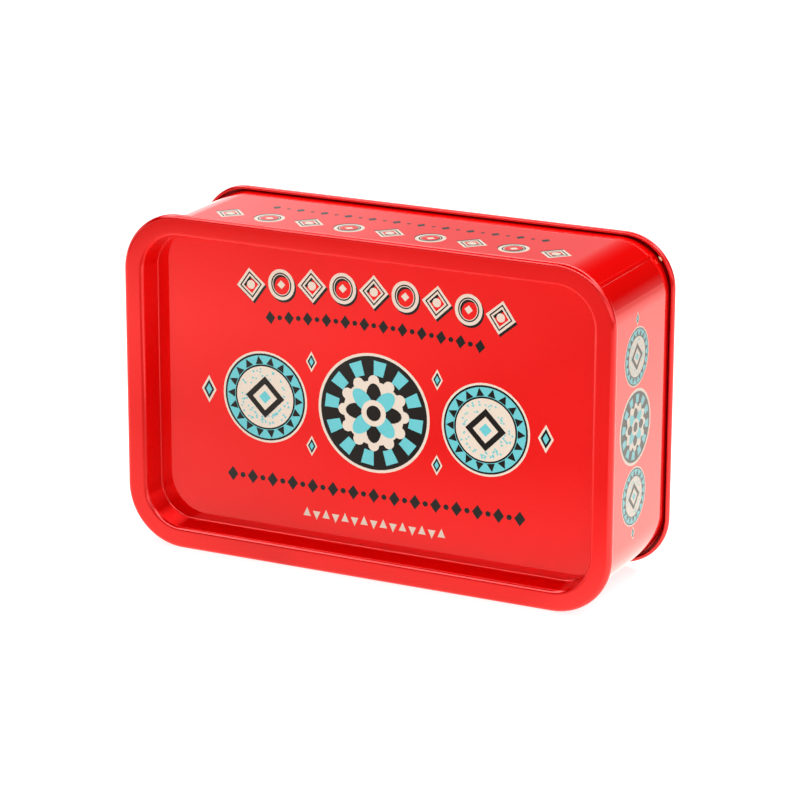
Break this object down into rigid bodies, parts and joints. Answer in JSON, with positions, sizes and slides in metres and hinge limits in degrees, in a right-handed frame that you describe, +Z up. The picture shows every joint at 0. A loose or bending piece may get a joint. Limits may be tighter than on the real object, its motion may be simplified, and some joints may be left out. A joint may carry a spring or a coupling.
{
  "type": "storage tin",
  "caption": "Flat rectangular tin box with rounded corners, a wide-bordered plug lid pressed in to a sunken panel, a printed wall with one side seam, and a proud rolled rim round its base.",
  "frame": {"origin": "under the middle of the tin, on the surface it stands on with its long side down", "axes": "+X along the tin's width, +Y from the lid towards the base, +Z up across its height"},
  "size_m": [0.115, 0.035, 0.075],
  "materials": {
    "lid_lacquer": "glossy red lacquer with flat printed ornament in cream, near-black and turquoise",
    "wall_lacquer": "glossy red lacquer with flat printed ornament in cream, near-black and turquoise",
    "base_lacquer": "glossy red lacquer"
  },
  "bodies": {
    "root": {"lid": "lid_lacquer", "wall": "wall_lacquer", "base": "base_lacquer"}
  },
  "joints": []
}
